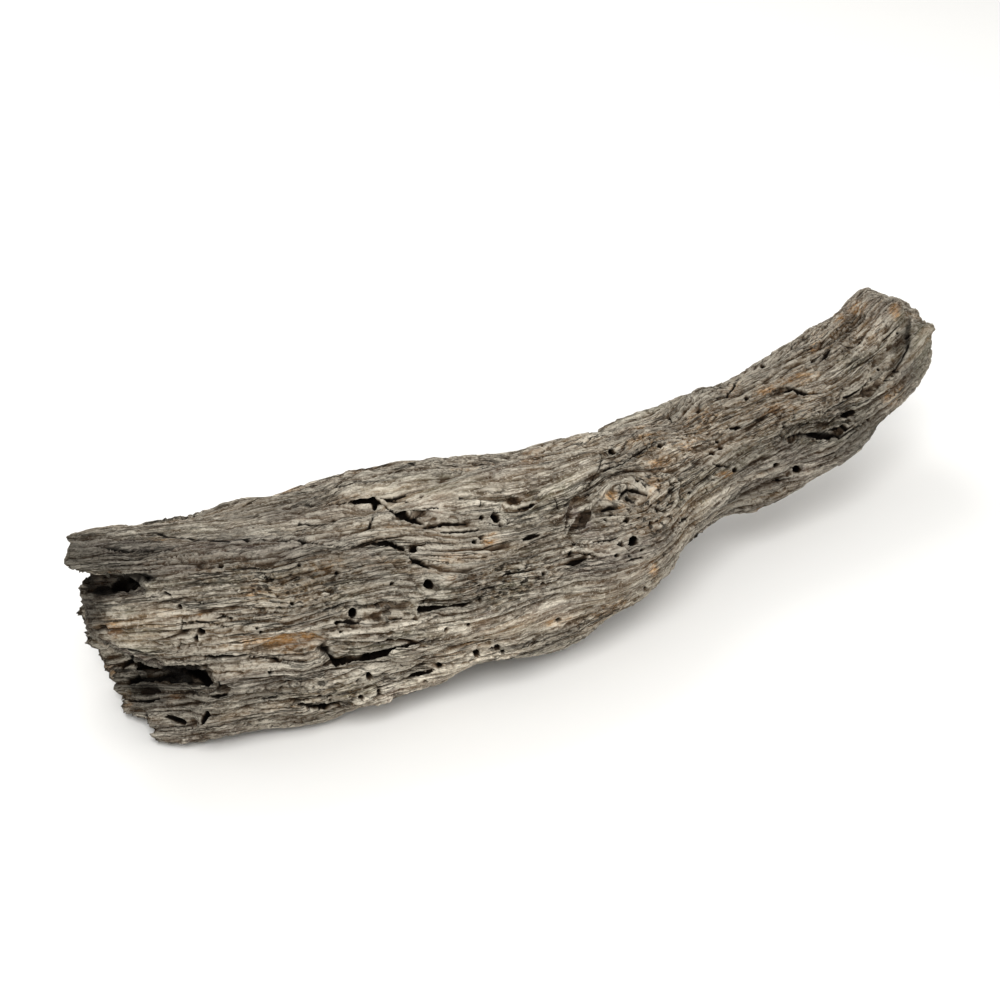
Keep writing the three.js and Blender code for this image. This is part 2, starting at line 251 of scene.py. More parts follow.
# How far points lie behind the nearest one in the same small cell of the picture, in metres
def behindNearest(u, v, depth):
    cellSize, cellsAcross = 3, 401  # pixels, and how many cells each way
    column, row = ((place // cellSize).astype(int).clip(0, cellsAcross - 1) for place in (u, v))
    cells = column * cellsAcross + row
    nearest = np.full(cellsAcross ** 2, np.inf)
    np.minimum.at(nearest, cells, depth)
    return depth - nearest[cells]


u, v, depth = toPicture(points)
behind = behindNearest(u, v, depth)
facing = normals @ np.array(cameraAxes()[2])
onSkin = (behind < bodySettings["skinDepth"]) * eased(facing, *bodySettings["skinFacing"])
seen = blurred(onSkin, bodySettings["skinBlur"])
inSplits = (behind < bodySettings["splitDepth"]) & (facing > bodySettings["splitFacing"])
glimpsed = blurred(inSplits.astype(np.float64), bodySettings["splitBlur"])


# The log's own run: its middle and half sizes along X, as smooth curves through its slices
def logRun(mm):
    sliceWidth = 9.0  # mm
    places, middles = [], []
    for low in np.arange(-140, 146, sliceWidth):
        slab = mm[(mm[:, 0] >= low) & (mm[:, 0] < low + sliceWidth)]
        top, bottom = slab.max(0), slab.min(0)
        places.append(low + sliceWidth / 2)
        middles.append([*(top + bottom)[1:] / 2, *(top - bottom)[1:] / 2])
    curves = [np.polyfit(places, column, 7) for column in np.array(middles).T]
    along = np.clip(mm[:, 0], places[0], places[-1])
    return [np.polyval(curve, along) for curve in curves]


# Knots that the grain flows round: along (mm), round the log (degrees), and radius (mm)
knots = {
    "elbow": (-3, 50, 6),
    "back": (-40, 168, 8),
    "backArm": (60, 150, 5),
    "under": (-70, -120, 6),
    "nose": (-142, 4, 5),
}


# Grain coordinates: along the log, round it in mm, and how far out from its middle
def grainPlaces(mm):
    middleY, middleZ, halfY, halfZ = logRun(mm)
    front, up = -(mm[:, 1] - middleY) / halfY, (mm[:, 2] - middleZ) / halfZ
    radius = bodySettings["grainRadius"]
    turn = np.arctan2(up, front) * radius
    out = np.hypot(up, front) * radius
    along = mm[:, 0].copy()
    low = np.stack([along / 46, front * 1.1, up * 1.1], 1)
    turn += bodySettings["grainSway"] * noiseAt(low, 11) + noiseAt(low * 2.6, 12) + 0.04 * along
    full = 2 * math.pi * radius
    for x, degrees, size in knots.values():
        across = (turn - math.radians(degrees) * radius + full / 2) % full - full / 2
        gap = (along - x) ** 2 / 3.2 + across ** 2  # squared, and less for what lies along the grain
        turn += -across * size ** 2 / (gap + size ** 2 * 0.35) * 0.8
    return along, turn, out


mm = points * 1000
along, turn, out = grainPlaces(mm)
angle = turn / bodySettings["grainRadius"]
onSplinter = eased(-along, 116, 128) * eased(mm[:, 2], 42, 50)  # the long one, high on the broken end
ringShare = bodySettings["ringShare"] + 0.6 * onSplinter
ring = bodySettings["grainRadius"] + ringShare * (out - bodySettings["grainRadius"])
grain = np.stack([along, -ring * np.cos(angle), ring * np.sin(angle)], 1)


# On the broken end the skin's grain runs on towards the left of the picture, along near-level lines
def runOnGrain():
    right, up, _ = (np.array(axis) for axis in cameraAxes())
    lean = math.radians(bodySettings["endLean"])
    level = mm @ (right * math.cos(lean) + up * math.sin(lean))
    height = mm @ (up * math.cos(lean) - right * math.sin(lean))
    rim = np.flatnonzero((np.abs(along + bodySettings["endRim"] - 3) < 2) & (seen > 0.5))
    low, high = height[rim].min(), height[rim].max()
    share = np.clip((height - low) / (high - low), 0, 1)
    carried = []
    for column in (along - level, grain[:, 1], grain[:, 2]):
        carried.append(np.polyval(np.polyfit(share[rim], column[rim], 5), share))
    carried[0] += level
    onEnd = eased(-along, bodySettings["endRim"], bodySettings["endRim"] + bodySettings["endTakeover"])
    onEnd *= eased(blurred(facing, 8), -0.05, 0.25)
    return grain + (np.stack(carried, 1) - grain) * onEnd[:, None]


grain = runOnGrain()


# Noise stretched along the grain: its length and width in mm, and its seed
def grainNoise(length, width, seed):
    return noiseAt(grain / np.array([length, width, width]), seed)


print("grain laid out")

# Marks seen on the wood, in pixels of the picture, so that they lie where the real ones do
seenMarks = {
    # u, v, radius
    "boredHoles": [
        (429.5, 583.4, 4.4), (353, 612.7, 4.2), (413.4, 548, 3.8), (480, 601, 1.9), (481, 585, 1.6),
        (447, 631, 2), (337.5, 623, 2.4), (342, 631, 2), (417, 618, 2.6), (439, 667, 2.5),
        (478.6, 657, 3.6), (493, 651, 2), (426, 683, 2), (330, 699, 3.6), (320, 699, 2.4),
        (271, 674, 2), (282, 691, 1.6), (293, 602.5, 2.4), (337.5, 572, 2), (393, 582, 2.4),
        (334, 517.7, 2.4), (484, 516, 2.4), (498, 516, 4.6), (483, 536, 2.4), (476, 540, 2.8),
        (544.7, 572, 2.8), (524, 584, 1.8), (544, 585, 2), (613, 451, 3.6), (638.7, 479, 2.2),
        (645.5, 484, 1.6), (622, 485, 1.6), (660.3, 507, 3.9), (628.5, 518, 2.7), (606.7, 518, 2),
        (653, 522, 1.8), (691.7, 492, 2), (713.4, 452.5, 2.8), (721.7, 446, 2.1), (715, 478, 2),
        (634.5, 541, 4.2), (623, 543, 3.2), (619.6, 555, 2.4), (643.6, 549, 2.2), (646.4, 590, 2.4),
        (561, 622, 2.4), (498.5, 650, 3.4), (747, 395.6, 2.7), (763, 364, 3), (813, 360, 2.6),
        (870, 420, 1.8), (846, 388.6, 1.6), (785, 426, 2.2), (737.5, 468, 2.8), (821, 410.5, 1.7),
        (797, 469, 3.2), (778, 466.7, 3.4), (883.6, 383, 2.4), (216, 686, 3.4), (108, 670.6, 3.4),
        (179, 607.7, 2.6), (220.7, 564.6, 3), (198, 634, 4.4), (193.5, 641, 2.8), (145.7, 715, 2.4),
        (257, 627.5, 1.8), (261, 632, 1.8), (362, 699, 3), (370, 678, 3.4), (662, 443, 3),
        (508.7, 519.6, 2), (502, 522, 2), (421, 495, 2.6),
    ],
    # paths of u, v and half width
    "fissures": [
        [(354, 503, 0.8), (360, 502.5, 2), (376, 502.5, 2), (382, 503, 0.6), (393, 509.5, 1.2),
         (399, 512.5, 2.1), (414, 518, 2.2), (423, 521, 0.8)],
        [(326, 503, 0.4), (340, 503, 0.9), (356, 502.5, 0.7)],
        [(380, 499, 0.7), (396, 499, 0.9), (411, 500, 0.7), (424, 495, 0.5)],
        [(373, 511, 0.6), (371, 518, 1.2), (370, 526, 1.8)],
        [(250, 537, 1.4), (275, 538.5, 2.2), (295, 540, 1.6), (312, 543.6, 0.8), (345, 546, 0.6),
         (372, 544, 0.8), (388, 544.5, 2.2), (403, 547, 1.9)],
        [(411, 556, 1.4), (418, 559, 2.6), (426, 563, 2.4), (431, 566, 0.8)],
        [(377, 607, 1.3), (380, 603.4, 0.9), (387.5, 601.8, 0.8), (397, 604.4, 0.5)],
        [(421, 610, 3.6), (430, 608.6, 3.4), (440, 607, 2), (448, 606.5, 0.8), (455, 606, 2),
         (464, 605.5, 1.9), (470, 603.5, 0.7), (480, 601, 0.5)],
        [(389, 618, 0.8), (396, 618, 1.4), (404, 617.6, 0.9)],
        [(322, 648, 0.8), (329, 655, 1.4), (336, 661, 2.8), (347, 660, 1.3), (359, 657.9, 1.2),
         (372, 654.5, 1.2), (386, 650.7, 1.6), (404, 646, 2), (419, 642, 0.9), (427, 639, 0.5)],
        [(368, 666, 0.9), (378, 666, 1.8), (389, 665, 0.8)],
        [(378, 688, 0.7), (386, 686, 1.5), (391, 684, 0.6)],
        [(409, 676, 0.9), (418, 673.5, 2.4), (429, 671.5, 1.7), (434, 670, 0.7)],
        [(262, 702, 0.8), (270, 701, 2.2), (279, 699, 1)],
        [(298, 707, 1), (312, 707.5, 2.6), (326, 706, 2.4), (340, 703, 1)],
        [(282, 686, 0.7), (290, 685, 1.7), (296, 684.4, 0.8)],
        [(263, 576, 0.6), (270, 577, 1.6), (276, 578.5, 1)],
        [(284, 509, 1.2), (292, 507.5, 1.7), (303, 504, 1.2), (309, 503, 1.4)],
        [(299, 521, 1.6), (304, 521, 1.6), (312, 521, 0.8), (322, 522, 1.5), (327, 521.5, 0.6)],
        [(400, 465, 1.1), (408, 464.8, 1.5), (416, 465.5, 0.7)],
        [(482, 499, 0.6), (482, 504, 1.1)],
        [(525, 538, 1.6), (530, 536, 2.7), (536, 535, 2.5), (541, 534.6, 0.9)],
        [(534, 493, 0.6), (541, 491.5, 1)],
        [(556, 497, 0.6), (558, 502, 1), (561, 507.6, 0.8)],
        [(606, 468, 1.4), (612, 465, 2), (623, 462.6, 1), (633, 455, 0.9), (640, 451, 1.2),
         (648, 446, 0.8)],
        [(606, 507.6, 1.4), (612, 505, 2.1), (618, 506, 1.2)],
        [(619.6, 499, 0.9), (624, 493, 1.7), (629, 488.6, 1.9), (636, 489.5, 1.8), (645, 492.6, 0.9)],
        [(661, 474, 0.4), (669, 479, 0.6), (674, 487, 0.7), (673, 498, 0.6), (665, 511, 0.4)],
        [(645.5, 470.6, 0.5), (649, 474, 0.8), (655, 473, 0.5)],
        [(581, 552, 0.7), (589, 552, 0.9), (597.4, 555, 0.8)],
        [(569, 562, 1.6), (575, 560, 3), (583, 557.6, 2.5), (589, 556, 0.9)],
        [(681.6, 523, 1), (686, 520, 1.8), (690, 517.6, 0.8)],
        [(713, 464, 0.8), (722, 464, 1.5), (730, 465, 0.8)],
        [(603, 452, 0.3), (601, 462, 0.5), (598, 472, 0.5), (592, 482, 0.4), (585, 489, 0.3),
         (569, 503, 0.2)],
        [(668, 415, 1.2), (671, 420, 1), (678, 416, 0.8)],
        [(733, 428, 1.1), (740, 426, 1.5)],
        [(728, 393, 1), (733, 386, 1.4), (739, 378.6, 0.8)],
        [(786, 391, 1.2), (793, 388, 2.9), (801, 390.5, 2.4), (812, 392, 1.2), (822, 390.6, 0.7)],
        [(823, 357, 1.1), (827, 352.6, 2), (830, 349, 1)],
        [(837, 342.5, 0.8), (848, 345.4, 1), (856, 345, 1), (862, 341, 0.6)],
        [(791, 437, 1), (801.6, 432.6, 1.4), (809, 434, 1.6), (818, 435.4, 2.9), (828, 435, 3.2),
         (834, 432, 1), (841, 436.4, 1.2), (852, 431, 1.3), (866, 424.4, 0.7)],
        [(844, 417.6, 1.6), (850, 414.6, 2), (856, 412, 0.8)],
        [(731, 427.6, 0.9), (738, 427, 1.9), (743, 425.6, 0.8)],
        [(775, 483.6, 0.8), (781, 483, 1.6), (786, 483.6, 0.7)],
        [(909, 344, 1.2), (907.5, 351, 2), (905, 359, 1.6), (901, 367.5, 1.1), (892, 376, 1),
         (881, 384, 0.8)],
        [(846, 396.4, 1), (853, 394.6, 1.9), (862, 389, 1), (868, 383, 0.6)],
        [(93, 545.5, 0.7), (114, 547, 1), (134, 546.6, 0.9), (154, 546, 0.6)],
        [(158, 531, 0.8), (176, 533.6, 1.7), (193, 535.6, 1.4), (222, 537.4, 1), (250, 537, 0.9)],
        [(120, 652, 0.9), (132, 654.4, 1.5), (147, 657.4, 0.9)],
        [(120, 668, 1.6), (126, 663.5, 2.6), (131, 659, 1.4)],
        [(176.5, 655, 0.2), (178.6, 647, 0.5), (180, 640, 0.2)],
        [(180, 634, 0.2), (181.6, 626, 0.5), (181, 620, 0.2)],
        [(204, 659, 1.2), (214, 659.6, 2.2), (224, 659, 1.8), (240, 658, 0.9), (262, 657.6, 0.8),
         (284, 660, 1), (306, 662, 0.7)],
        [(182, 624, 0.7), (198, 622.4, 1), (212, 623.6, 0.8), (226, 626, 0.5)],
        [(216, 619, 0.8), (223, 617.4, 1.6), (232, 618.4, 0.8)],
        [(193, 600.6, 0.7), (198, 602.6, 1.2), (203, 604, 0.6)],
        [(160, 593, 0.7), (166, 593.6, 1.3), (172, 597, 0.9)],
        [(128, 700.4, 0.9), (142, 700.6, 2), (152, 700, 1.9), (159, 698, 0.8)],
        [(208, 696, 1.2), (216, 696.6, 2.6), (226, 695, 1.2)],
        [(165, 716, 2), (174, 718.6, 3.6), (182, 722.4, 2.4)],
        [(207, 713, 2.4), (203, 718, 4.2), (199, 725, 3)],
        [(127, 682, 3.4), (142, 677, 5), (160, 673.5, 5), (175, 671.5, 5), (190, 672, 5),
         (201.6, 675.5, 4.8), (207, 682.5, 3.6)],
    ],
    # u, v, half length, half width, lean in degrees (up to the right), depth in mm, softness 0 to 1
    "hollows": [
        (296, 641, 36, 9, 4, 1.3, 0.7),
        (323, 648, 9, 5, -12, 1.4, 0.6),
        (581, 519, 18, 5.4, 47, 1.3, 0.5),
        (633, 496, 13, 6, 22, 1, 0.8),
        (578, 560, 12, 5, 14, 1.6, 0.6),
        (128, 582, 21, 8, 14, 5, 0.35),
        (146, 691, 22, 7, 0, 2.2, 0.8),
        (822, 422, 24, 8, 10, 0.8, 0.9),
        (452, 576.6, 8, 4, 20, 1, 0.6),
        (330, 590, 7, 3.4, -20, 1, 0.6),
        (324, 567, 12, 3.6, 4, 1, 0.7),
        (402, 698, 11, 4, 0, 1.2, 0.6),
        (535, 644, 9, 3, 10, 1, 0.6),
        (851, 327, 8, 4.4, 0, 1, 0.5),
        (735, 472, 26, 12, 20, 0.7, 0.9),
        (760, 464, 24, 9, 8, 0.9, 0.8),
        (898, 356, 9, 24, -16, 1.1, 0.8),
        (206, 636, 11, 8, 20, 1.2, 0.5),
        (85, 607, 5, 4, 0, 1.2, 0.5),
        (98, 629, 7, 5, 0, 2.2, 0.6),
    ],
    # paths of u, v and half width that stand proud
    "lips": [
        [(566, 534, 0.8), (573, 522, 1.6), (582, 509, 1.9), (592, 503, 1.4)],
        [(565, 551, 0.8), (576, 548.6, 1.3), (588, 549.6, 1.2), (599, 553, 0.8)],
        [(862, 343, 0.9), (870, 331, 1.3), (880, 317, 0.9)],
        [(889, 338, 0.8), (895, 330, 1.1), (902, 322, 0.8)],
        [(336, 471, 2), (343.7, 470, 4.4), (351, 472, 2)],
        [(427, 462, 1.6), (432, 461, 2.6), (437, 461.6, 1.4)],
        [(330, 638, 1.6), (352, 634, 2.4), (384, 629, 2.2), (414, 622, 1.4)],
        [(660, 470, 1.4), (671, 476, 2), (678, 488, 2.2), (677, 501, 1.8), (668, 515, 1.2)],
    ],
    # u, v, half length, half width, lean in degrees, strength
    "stains": [
        (291, 641.8, 33, 8, 2, 1), (857, 306, 10, 7, 10, 1), (895, 309, 6, 9, -20, 0.8),
        (767, 387, 12, 5, 4, 0.8), (815.6, 343, 5, 11, 0, 0.8), (838, 319, 7, 6, 30, 0.6),
        (775, 408, 18, 6, 6, 0.6), (798, 376, 20, 7, 12, 0.55), (112, 632, 9, 9, 0, 1),
        (98, 627, 8, 5, 0, 0.6), (174, 697, 9, 4, 20, 0.9), (612, 494.6, 8, 5, 20, 0.9),
        (654.7, 485, 7, 9, 0, 0.8), (624, 505.7, 7, 5, 0, 0.8), (655.7, 572, 4, 10, 0, 0.8),
        (728, 472.5, 10, 5, 4, 0.8), (492, 537, 10, 6, 10, 0.8), (661, 462, 14, 8, 20, 0.5),
        (733, 386, 6, 9, -30, 0.7), (257, 586, 4, 7, 20, 0.8), (251, 594, 4, 6, 0, 0.6),
        (198, 618, 6, 3, 0, 0.7), (245, 640, 6, 4, 0, 0.7), (532, 456, 14, 8, 20, 0.5),
        (645, 432, 26, 12, 26, 0.5), (700, 415, 22, 9, 20, 0.5), (325, 566, 20, 8, 0, 0.45),
        (452, 576, 8, 5, 20, 0.6), (453, 555, 16, 5, 8, 0.45), (611, 611, 20, 8, 24, 0.4),
        (894, 394, 10, 15, -20, 0.6), (733, 389, 10, 6, 0, 0.4), (690, 445, 10, 5, 10, 0.35),
        (560, 622, 18, 7, 14, 0.4), (470, 648, 14, 6, 10, 0.35), (125, 700, 8, 14, 0, 0.4),
        (168, 536, 20, 3, 0, 0.4), (380, 560, 26, 5, 4, 0.4),
    ],
    # the same, for broad tones that are partly painted light and painted shade, for painted shade, and
    # for where the skin is rotten or smooth
    "tones": {
        # paler patches: partly the wood's own colour, partly painted light, as on the lower edge
        "paleAndLit": [
            (140, 620, 40, 16, 8, 0.5), (150, 648, 36, 12, 0, 0.3), (470, 628, 40, 9, 6, 1),
            (560, 612, 80, 14, 20, 0.7), (458, 680, 70, 20, 12, 2), (395, 690, 50, 14, 8, 1),
            (390, 495, 50, 14, 6, 0.6), (510, 490, 50, 14, 10, 0.5), (340, 690, 40, 12, 0, 0.5),
            (225, 640, 30, 14, 0, 0.5), (450, 500, 60, 14, 8, 0.6), (515, 495, 40, 16, 10, 0.6),
            (575, 470, 40, 8, 45, 0.9), (590, 440, 20, 12, 30, 0.6), (700, 450, 30, 10, 20, 0.5),
            (870, 330, 10, 20, -30, 0.6), (692, 442, 34, 16, 22, 0.5), (690, 500, 30, 20, 25, 0.35),
            (566, 562, 40, 16, 20, 0.4), (415, 625, 60, 6, 6, 0.5), (380, 658, 60, 7, 10, 0.5),
            (480, 655, 50, 10, 10, 0.7), (640, 580, 40, 16, 35, 0.4), (640, 420, 30, 8, 25, 0.4),
        ],
        # darker patches: partly the wood's own colour, partly painted shade, as under the arch, on the
        # nose and on the arm's lower edge
        "deep": [
            (105, 552, 80, 24, 0, 1.15), (170, 560, 70, 20, 0, 0.9), (150, 688, 60, 20, 0, 1),
            (240, 552, 110, 18, 2, 0.7), (330, 568, 80, 18, 2, 0.6), (270, 503, 70, 12, 6, 0.6),
            (88, 612, 20, 34, 0, 1.3), (864, 437, 42, 12, 38, 1.1), (900, 430, 40, 10, 40, 0.5),
            (112, 632, 9, 9, 0, 0.5), (630, 560, 34, 18, 35, 0.3), (750, 505, 40, 14, 25, 0.8),
            (900, 350, 7, 34, -14, 0.7), (905, 322, 6, 8, 0, 0.8), (760, 495, 44, 14, 25, 0.6),
            (260, 690, 70, 12, 4, 0.5), (215, 690, 16, 14, 0, 0.6), (860, 330, 50, 20, 40, 0.3),
            (175, 702, 40, 14, 0, 0.4), (300, 560, 60, 14, 0, 0.45), (800, 442, 44, 20, 10, 0.6),
            (850, 420, 40, 16, 25, 0.5), (900, 380, 16, 34, -20, 0.4), (210, 570, 50, 10, 0, 0.3),
            (610, 505, 25, 14, 20, 0.5), (755, 460, 40, 18, 15, 0.4), (655, 440, 34, 9, 25, 0.4),
            (250, 536, 90, 4, 0, 0.7), (500, 560, 60, 8, 10, 0.3), (320, 612, 60, 10, 2, 0.3),
        ],
        "shade": [
            (127, 582, 24, 7, 12, 1), (109, 587, 16, 6, 6, 1), (90, 584, 8, 12, 0, 0.5),
            (168, 674, 38, 5.4, 5, 1), (204, 679, 6, 4.5, -50, 0.8), (146, 688, 18, 6, 0, 0.5),
            (186, 679, 8, 4, 0, 0.9), (909, 332, 3.4, 20, -6, 0.5), (903, 358, 3.4, 16, -18, 0.34),
            (326, 652, 10, 5, -20, 0.5), (818, 434, 24, 3, 2, 0.6), (633, 490, 11, 3, 20, 0.4),
        ],
        "warm": [
            (290, 590, 50, 24, 5, 0.6), (690, 440, 60, 22, 25, 0.7), (780, 400, 70, 26, 25, 0.9),
            (840, 330, 44, 24, 35, 0.8), (450, 560, 60, 10, 10, 0.6), (640, 510, 34, 22, 20, 0.7),
            (285, 645, 54, 13, 0, 0.9), (560, 450, 60, 12, 25, 0.5), (330, 566, 50, 12, 0, 0.6),
            (610, 600, 40, 14, 30, 0.4), (440, 650, 60, 8, 10, 0.4),
        ],
        "green": [
            (480, 590, 60, 20, 10, 0.8), (570, 600, 90, 18, 20, 0.6), (790, 425, 40, 12, 15, 0.7),
            (852, 361, 18, 12, 0, 0.8), (118, 636, 44, 26, 0, 0.8), (700, 500, 40, 20, 30, 0.3),
            (540, 500, 50, 16, 20, 0.5), (922, 348, 13, 34, -10, 0.9), (350, 690, 70, 12, 6, 0.6),
            (400, 480, 60, 8, 6, 0.4),
        ],
        "purple": [
            (240, 548, 90, 14, 2, 0.9), (170, 560, 60, 16, 0, 0.8), (120, 545, 50, 8, 0, 0.8),
            (620, 560, 60, 30, 35, 0.6), (260, 680, 70, 14, 0, 0.5), (330, 510, 60, 10, 4, 0.5),
            (790, 470, 60, 18, 20, 0.6), (900, 390, 14, 40, -25, 0.5), (580, 520, 10, 16, 45, 0.9),
        ],
        "rotten": [
            (505, 580, 48, 24, 10, 1), (655, 500, 44, 36, 20, 1), (290, 592, 60, 26, 0, 0.9),
            (320, 694, 50, 20, 0, 0.8), (640, 440, 44, 18, 25, 0.8), (700, 425, 50, 22, 20, 0.8),
            (800, 420, 60, 24, 20, 0.8), (850, 340, 50, 20, 35, 0.6), (380, 610, 50, 16, 0, 0.7),
            (440, 680, 50, 12, 10, 0.2), (600, 620, 50, 14, 30, 0.6), (230, 570, 40, 12, 0, 0.6),
        ],
        "calm": [
            (590, 600, 90, 16, 24, 0.9), (634, 488, 22, 14, 10, 0.8), (420, 490, 80, 14, 8, 0.8),
            (250, 520, 90, 12, 6, 0.6), (140, 625, 40, 22, 10, 0.6), (575, 470, 40, 12, 45, 0.6),
            (475, 630, 44, 8, 6, 0.9), (640, 560, 40, 30, 35, 0.5), (860, 440, 40, 16, 40, 0.4),
            (922, 350, 14, 40, -12, 1), (870, 310, 20, 20, 0, 0.6), (905, 320, 22, 14, -30, 1),
            (296, 641, 34, 8, 4, 0.3), (452, 676, 44, 14, 12, 0.8),
        ],
    },
}


def nearPoints(lowU, highU, lowV, highV, sight=seen):
    return np.flatnonzero((u > lowU) & (u < highU) & (v > lowV) & (v < highV) & (sight > 0.01))


# The points in and round a leaning oval, and how far inside it they lie: 1 in its middle, 0 at its edge
def insideOval(oval, spread, sight=seen):
    u0, v0, halfLong, halfWide, lean = oval
    reach = max(halfLong, halfWide) * spread
    at = nearPoints(u0 - reach, u0 + reach, v0 - reach, v0 + reach, sight)
    lean = math.radians(lean)
    du, dv = u[at] - u0, v[at] - v0
    longways = (du * math.cos(lean) - dv * math.sin(lean)) / halfLong
    sideways = (du * math.sin(lean) + dv * math.cos(lean)) / halfWide
    return at, 1 - np.hypot(longways, sideways)


# What makes the edges of marks and tones uneven
ragged = noiseAt(mm / 1.5, 51) + 0.5 * noiseAt(mm / 0.8, 52)
patchy = noiseAt(mm / 5, 53) + 0.5 * noiseAt(mm / 2.2, 54)


# One named layer over the whole wood, made of soft patches
def toned(name):
    values = np.zeros(len(points))
    sight = glimpsed if name == "shade" else seen
    for *oval, strength in seenMarks["tones"][name]:
        at, inside = insideOval(oval, 1.7, sight)
        inside += 0.2 * patchy[at]
        values[at] = np.maximum(values[at], strength * eased(inside, -0.45, 0.5) * sight[at])
    return values


tones = {name: toned(name) for name in seenMarks["tones"]}
print("tones laid out")

# Relief that follows the grain, in mm
loud = eased(grainNoise(52, 15, 21), -0.5, 0.5)  # where the furrows are deep
rotten = eased(noiseAt(mm / 24, 22) + 0.35 * grainNoise(20, 6, 23), 0.08, 0.5)
rotten = np.maximum(rotten * (1 - 0.7 * seen), tones["rotten"])
calm = np.maximum(eased(grainNoise(60, 16, 24), 0.25, 0.7) * (1 - 0.6 * seen), tones["calm"])
swells = grainNoise(70, 11, 31) + 0.6 * grainNoise(34, 6, 32) + 0.8 * noiseAt(mm / 15, 30)
relief = bodySettings["swell"] * swells
furrowField = grainNoise(48, 4.6, 33) + 0.35 * grainNoise(14, 2.2, 34)
relief -= bodySettings["furrow"] * valleys(furrowField, 0.2) * (0.25 + 0.75 * loud)
checkField = grainNoise(24, 2.3, 35) + 0.3 * grainNoise(8, 1.2, 36)
checkHere = eased(grainNoise(30, 8, 37), -0.25, 0.35)
relief -= bodySettings["check"] * valleys(checkField, 0.13) * checkHere
layers = grainNoise(36, 6.4, 38) + 0.42 * grainNoise(13, 3, 39) + 0.14 * noiseAt(mm / 2.6, 40)
relief += bodySettings["ledge"] * (stepped(layers, 3.2, 0.16) - layers * 0.35)
relief += bodySettings["fibre"] * (grainNoise(18, 1.2, 41) + 0.6 * grainNoise(8, 0.8, 42))
relief *= (1 - 0.6 * calm) * (1 - 0.35 * rotten)
spongy = grainNoise(4, 1.7, 43) + 0.8 * noiseAt(mm / 1.2, 44)
relief -= bodySettings["rot"] * rotten * (eased(spongy, 0.15, 0.75) + 0.5 * valleys(spongy, 0.22))
relief += 0.1 * noiseAt(mm / 1.1, 45)
print("grain relief made")

# Cuts are shallower on slanting skin, or their floors wouldn't show
straight = eased(facing, *bodySettings["slant"])
cutShare = bodySettings["slantShare"] + (1 - bodySettings["slantShare"]) * straight
paintedShade = tones["shade"].copy()  # painted shade: how dark each mark is painted, for the shade in holes, fissures, hollows and splits
stain = np.zeros(len(points))


# How far inside a path of u, v and half width points lie: 1 on it, 0 at its edge, and the width there
def insidePath(at, path):
    best, width = np.full(len(at), -9.0), np.zeros(len(at))
    for (u0, v0, w0), (u1, v1, w1) in zip(path, path[1:]):
        du, dv = u1 - u0, v1 - v0
        share = np.clip(((u[at] - u0) * du + (v[at] - v0) * dv) / (du * du + dv * dv), 0, 1)
        half = (w0 + (w1 - w0) * share) * (0.85 + 0.2 * ragged[at]) + 0.2
        inside = 1 - np.hypot(u[at] - u0 - share * du, v[at] - v0 - share * dv) / half
        closer = inside > best
        best[closer], width[closer] = inside[closer], half[closer]
    return best, width


# A fissure where sign is -1, or a lip that stands proud where it is 1
def cutPath(path, sign):
    us, vs, ws = zip(*path)
    reach = max(ws) * 1.6 + 2
    at = nearPoints(min(us) - reach, max(us) + reach, min(vs) - reach, max(vs) + reach, glimpsed)
    inside, width = insidePath(at, path)
    if sign < 0:
        profile = np.clip(inside * 1.7, 0, 1) ** 0.8
        deep = np.minimum(0.4 + 0.65 * width, bodySettings["fissureDeepest"])
        relief[at] -= profile * seen[at] * cutShare[at] * deep
        # painted shade in the fissure, where the camera glimpses into it
        paintedShade[at] = np.maximum(paintedShade[at], profile * glimpsed[at] * np.minimum(1, 0.4 + 0.36 * width))
    else:
        high = np.minimum(0.35 + 0.3 * width, bodySettings["lipHighest"])
        relief[at] += eased(inside, -1.2, 1) * high * seen[at]


for u0, v0, radius in seenMarks["boredHoles"]:
    at = nearPoints(u0 - radius * 2, u0 + radius * 2, v0 - radius * 2, v0 + radius * 2)
    inside = 1 - np.hypot(u[at] - u0, v[at] - v0) / (radius * (1 + 0.12 * ragged[at]) + 0.3)
    profile = eased(inside, 0, 0.55) * seen[at]
    relief[at] -= profile * cutShare[at] * min(1.2 + 0.62 * radius, bodySettings["holeDeepest"])
    # painted shade inside the hole
    paintedShade[at] = np.maximum(paintedShade[at], profile)
for path in seenMarks["fissures"]:
    cutPath(path, -1)
for path in seenMarks["lips"]:
    cutPath(path, 1)
for *oval, deep, soft in seenMarks["hollows"]:
    at, inside = insideOval(oval, 1.4)
    inside += 0.2 * ragged[at]
    profile = eased(inside, 0, soft) * seen[at]
    relief[at] = relief[at] * (1 - 0.55 * profile) - profile * deep * cutShare[at]
    # painted shade in the hollow
    paintedShade[at] = np.maximum(paintedShade[at], 0.13 * profile * min(deep, 5))
for *oval, strength in seenMarks["stains"]:
    at, inside = insideOval(oval, 1.9)
    inside += 0.3 * ragged[at]
    stain[at] = np.maximum(stain[at], strength * eased(inside, -0.35, 0.6) * seen[at])
print("seen marks cut")

unseenMarks = {
    "holes": 150,
    "holeRadius": (0.45, 1.25),  # mm
    "holeRadiusInSight": 0.62,  # mm at most
    "fissures": 120,
    "fissureLength": (5, 26),
    "fissureWidth": (0.5, 1.5),
    "fissureWidthInSight": 0.84,  # mm at most
    "stains": 34,
    "stainSize": (3, 8),
}

